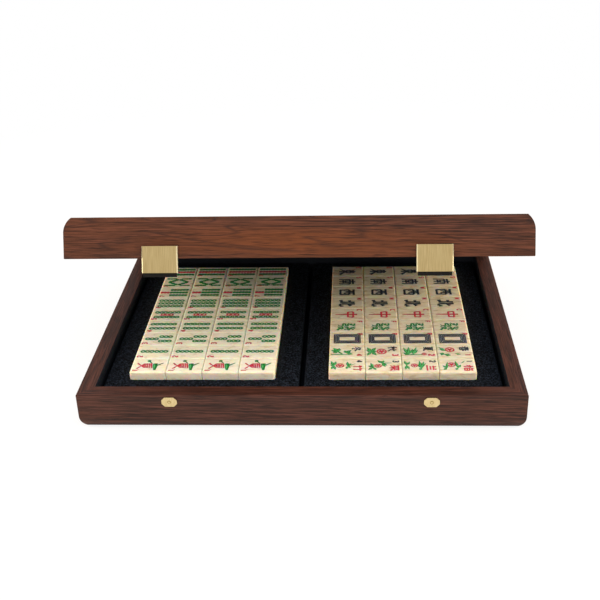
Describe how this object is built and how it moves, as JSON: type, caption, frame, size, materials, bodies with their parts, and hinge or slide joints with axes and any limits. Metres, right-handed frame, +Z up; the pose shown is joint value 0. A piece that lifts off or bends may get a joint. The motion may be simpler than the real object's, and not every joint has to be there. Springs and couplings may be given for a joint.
{
  "type": "mahjong set in a hinged wooden case",
  "caption": "Mahjong set: ivory tiles in two layers in foam wells, inside a flat dark oak case with a hinged lid and brass magnetic clasps.",
  "frame": {"origin": "middle of the flat underside of the case, on the surface it stands on", "axes": "+Z up; +X to the right seen from the front; the front of the case, with its clasps and strikes, faces -Y and the hinges are at +Y"},
  "size_m": [0.3606, 0.2877, 0.1695],
  "materials": {
    "dark_oak": "satin",
    "black_foam": "matte",
    "brass": "satin",
    "black_plastic": "matte",
    "plated_steel": "satin",
    "ivory_resin": "gloss",
    "red_paint": "satin",
    "green_paint": "satin",
    "dark_paint": "satin"
  },
  "bodies": {
    "base": {"base_front_rail": "dark_oak", "base_back_rail": "dark_oak", "base_left_rail": "dark_oak", "base_right_rail": "dark_oak", "base_bottom_panel": "dark_oak", "foam_tray_left": "black_foam", "foam_tray_right": "black_foam", "strike_plates": "brass", "strike_rivets": "brass", "hinge_leaves_base": "brass", "hinge_pins": "brass", "hinge_screws_base": "brass"},
    "lid": {"lid_front_rail": "dark_oak", "lid_back_rail": "dark_oak", "lid_left_rail": "dark_oak", "lid_right_rail": "dark_oak", "lid_top_panel": "dark_oak", "lid_pad": "black_foam", "clasp_covers": "brass", "clasp_blocks": "black_plastic", "clasp_magnets": "plated_steel", "clasp_screws": "plated_steel", "hinge_leaves_lid": "brass", "hinge_screws_lid": "brass"},
    "tiles_dot_1": {"tiles_dot_1": "ivory_resin"},
    "tiles_bamboo_1": {"tiles_bamboo_1": "ivory_resin"},
    "tiles_dot_2": {"tiles_dot_2": "ivory_resin"},
    "tiles_bamboo_2": {"tiles_bamboo_2": "ivory_resin"},
    "tiles_dot_3": {"tiles_dot_3": "ivory_resin"},
    "tiles_bamboo_3": {"tiles_bamboo_3": "ivory_resin"},
    "tiles_dot_4": {"tiles_dot_4": "ivory_resin"},
    "tiles_bamboo_4": {"tiles_bamboo_4": "ivory_resin"},
    "tiles_dot_5": {"tiles_dot_5": "ivory_resin"},
    "tiles_bamboo_5": {"tiles_bamboo_5": "ivory_resin"},
    "tiles_dot_6": {"tiles_dot_6": "ivory_resin"},
    "tiles_bamboo_6": {"tiles_bamboo_6": "ivory_resin"},
    "tiles_dot_7": {"tiles_dot_7": "ivory_resin"},
    "tiles_bamboo_7": {"tiles_bamboo_7": "ivory_resin"},
    "tiles_dot_8": {"tiles_dot_8": "ivory_resin"},
    "tiles_bamboo_8": {"tiles_bamboo_8": "ivory_resin"},
    "tiles_dot_9": {"tiles_dot_9": "ivory_resin"},
    "tiles_bamboo_9": {"tiles_bamboo_9": "ivory_resin"},
    "tiles_character_1": {"tiles_character_1": "ivory_resin"},
    "tiles_flower": {"tiles_flower": "ivory_resin"},
    "tiles_character_2": {"tiles_character_2": "ivory_resin"},
    "tiles_season": {"tiles_season": "ivory_resin"},
    "tiles_character_3": {"tiles_character_3": "ivory_resin"},
    "tiles_white_dragon": {"tiles_white_dragon": "ivory_resin"},
    "tiles_character_4": {"tiles_character_4": "ivory_resin"},
    "tiles_green_dragon": {"tiles_green_dragon": "ivory_resin"},
    "tiles_character_5": {"tiles_character_5": "ivory_resin"},
    "tiles_red_dragon": {"tiles_red_dragon": "ivory_resin"},
    "tiles_character_6": {"tiles_character_6": "ivory_resin"},
    "tiles_north_wind": {"tiles_north_wind": "ivory_resin"},
    "tiles_character_7": {"tiles_character_7": "ivory_resin"},
    "tiles_west_wind": {"tiles_west_wind": "ivory_resin"},
    "tiles_character_8": {"tiles_character_8": "ivory_resin"},
    "tiles_south_wind": {"tiles_south_wind": "ivory_resin"},
    "tiles_character_9": {"tiles_character_9": "ivory_resin"},
    "tiles_east_wind": {"tiles_east_wind": "ivory_resin"}
  },
  "joints": [
    {"name": "lid_hinge", "type": "hinge", "parent": "base", "child": "lid", "pos_m": [0, 0.14113, 0.03215], "axis": [-1, 0, 0], "range_deg": [-23.1, 156.9]},
    {"name": "tiles_dot_1_lift", "type": "slide", "parent": "base", "child": "tiles_dot_1", "axis": [0, 0, 1], "range_m": [0, 0.026]},
    {"name": "tiles_bamboo_1_lift", "type": "slide", "parent": "tiles_dot_1", "child": "tiles_bamboo_1", "axis": [0, 0, 1], "range_m": [0, 0.026]},
    {"name": "tiles_dot_2_lift", "type": "slide", "parent": "base", "child": "tiles_dot_2", "axis": [0, 0, 1], "range_m": [0, 0.026]},
    {"name": "tiles_bamboo_2_lift", "type": "slide", "parent": "tiles_dot_2", "child": "tiles_bamboo_2", "axis": [0, 0, 1], "range_m": [0, 0.026]},
    {"name": "tiles_dot_3_lift", "type": "slide", "parent": "base", "child": "tiles_dot_3", "axis": [0, 0, 1], "range_m": [0, 0.026]},
    {"name": "tiles_bamboo_3_lift", "type": "slide", "parent": "tiles_dot_3", "child": "tiles_bamboo_3", "axis": [0, 0, 1], "range_m": [0, 0.026]},
    {"name": "tiles_dot_4_lift", "type": "slide", "parent": "base", "child": "tiles_dot_4", "axis": [0, 0, 1], "range_m": [0, 0.026]},
    {"name": "tiles_bamboo_4_lift", "type": "slide", "parent": "tiles_dot_4", "child": "tiles_bamboo_4", "axis": [0, 0, 1], "range_m": [0, 0.026]},
    {"name": "tiles_dot_5_lift", "type": "slide", "parent": "base", "child": "tiles_dot_5", "axis": [0, 0, 1], "range_m": [0, 0.026]},
    {"name": "tiles_bamboo_5_lift", "type": "slide", "parent": "tiles_dot_5", "child": "tiles_bamboo_5", "axis": [0, 0, 1], "range_m": [0, 0.026]},
    {"name": "tiles_dot_6_lift", "type": "slide", "parent": "base", "child": "tiles_dot_6", "axis": [0, 0, 1], "range_m": [0, 0.026]},
    {"name": "tiles_bamboo_6_lift", "type": "slide", "parent": "tiles_dot_6", "child": "tiles_bamboo_6", "axis": [0, 0, 1], "range_m": [0, 0.026]},
    {"name": "tiles_dot_7_lift", "type": "slide", "parent": "base", "child": "tiles_dot_7", "axis": [0, 0, 1], "range_m": [0, 0.026]},
    {"name": "tiles_bamboo_7_lift", "type": "slide", "parent": "tiles_dot_7", "child": "tiles_bamboo_7", "axis": [0, 0, 1], "range_m": [0, 0.026]},
    {"name": "tiles_dot_8_lift", "type": "slide", "parent": "base", "child": "tiles_dot_8", "axis": [0, 0, 1], "range_m": [0, 0.026]},
    {"name": "tiles_bamboo_8_lift", "type": "slide", "parent": "tiles_dot_8", "child": "tiles_bamboo_8", "axis": [0, 0, 1], "range_m": [0, 0.026]},
    {"name": "tiles_dot_9_lift", "type": "slide", "parent": "base", "child": "tiles_dot_9", "axis": [0, 0, 1], "range_m": [0, 0.017]},
    {"name": "tiles_bamboo_9_lift", "type": "slide", "parent": "tiles_dot_9", "child": "tiles_bamboo_9", "axis": [0, 0, 1], "range_m": [0, 0.017]},
    {"name": "tiles_character_1_lift", "type": "slide", "parent": "base", "child": "tiles_character_1", "axis": [0, 0, 1], "range_m": [0, 0.026]},
    {"name": "tiles_flower_lift", "type": "slide", "parent": "tiles_character_1", "child": "tiles_flower", "axis": [0, 0, 1], "range_m": [0, 0.026]},
    {"name": "tiles_character_2_lift", "type": "slide", "parent": "base", "child": "tiles_character_2", "axis": [0, 0, 1], "range_m": [0, 0.026]},
    {"name": "tiles_season_lift", "type": "slide", "parent": "tiles_character_2", "child": "tiles_season", "axis": [0, 0, 1], "range_m": [0, 0.026]},
    {"name": "tiles_character_3_lift", "type": "slide", "parent": "base", "child": "tiles_character_3", "axis": [0, 0, 1], "range_m": [0, 0.026]},
    {"name": "tiles_white_dragon_lift", "type": "slide", "parent": "tiles_character_3", "child": "tiles_white_dragon", "axis": [0, 0, 1], "range_m": [0, 0.026]},
    {"name": "tiles_character_4_lift", "type": "slide", "parent": "base", "child": "tiles_character_4", "axis": [0, 0, 1], "range_m": [0, 0.026]},
    {"name": "tiles_green_dragon_lift", "type": "slide", "parent": "tiles_character_4", "child": "tiles_green_dragon", "axis": [0, 0, 1], "range_m": [0, 0.026]},
    {"name": "tiles_character_5_lift", "type": "slide", "parent": "base", "child": "tiles_character_5", "axis": [0, 0, 1], "range_m": [0, 0.026]},
    {"name": "tiles_red_dragon_lift", "type": "slide", "parent": "tiles_character_5", "child": "tiles_red_dragon", "axis": [0, 0, 1], "range_m": [0, 0.026]},
    {"name": "tiles_character_6_lift", "type": "slide", "parent": "base", "child": "tiles_character_6", "axis": [0, 0, 1], "range_m": [0, 0.026]},
    {"name": "tiles_north_wind_lift", "type": "slide", "parent": "tiles_character_6", "child": "tiles_north_wind", "axis": [0, 0, 1], "range_m": [0, 0.026]},
    {"name": "tiles_character_7_lift", "type": "slide", "parent": "base", "child": "tiles_character_7", "axis": [0, 0, 1], "range_m": [0, 0.026]},
    {"name": "tiles_west_wind_lift", "type": "slide", "parent": "tiles_character_7", "child": "tiles_west_wind", "axis": [0, 0, 1], "range_m": [0, 0.026]},
    {"name": "tiles_character_8_lift", "type": "slide", "parent": "base", "child": "tiles_character_8", "axis": [0, 0, 1], "range_m": [0, 0.026]},
    {"name": "tiles_south_wind_lift", "type": "slide", "parent": "tiles_character_8", "child": "tiles_south_wind", "axis": [0, 0, 1], "range_m": [0, 0.026]},
    {"name": "tiles_character_9_lift", "type": "slide", "parent": "base", "child": "tiles_character_9", "axis": [0, 0, 1], "range_m": [0, 0.017]},
    {"name": "tiles_east_wind_lift", "type": "slide", "parent": "tiles_character_9", "child": "tiles_east_wind", "axis": [0, 0, 1], "range_m": [0, 0.017]}
  ]
}
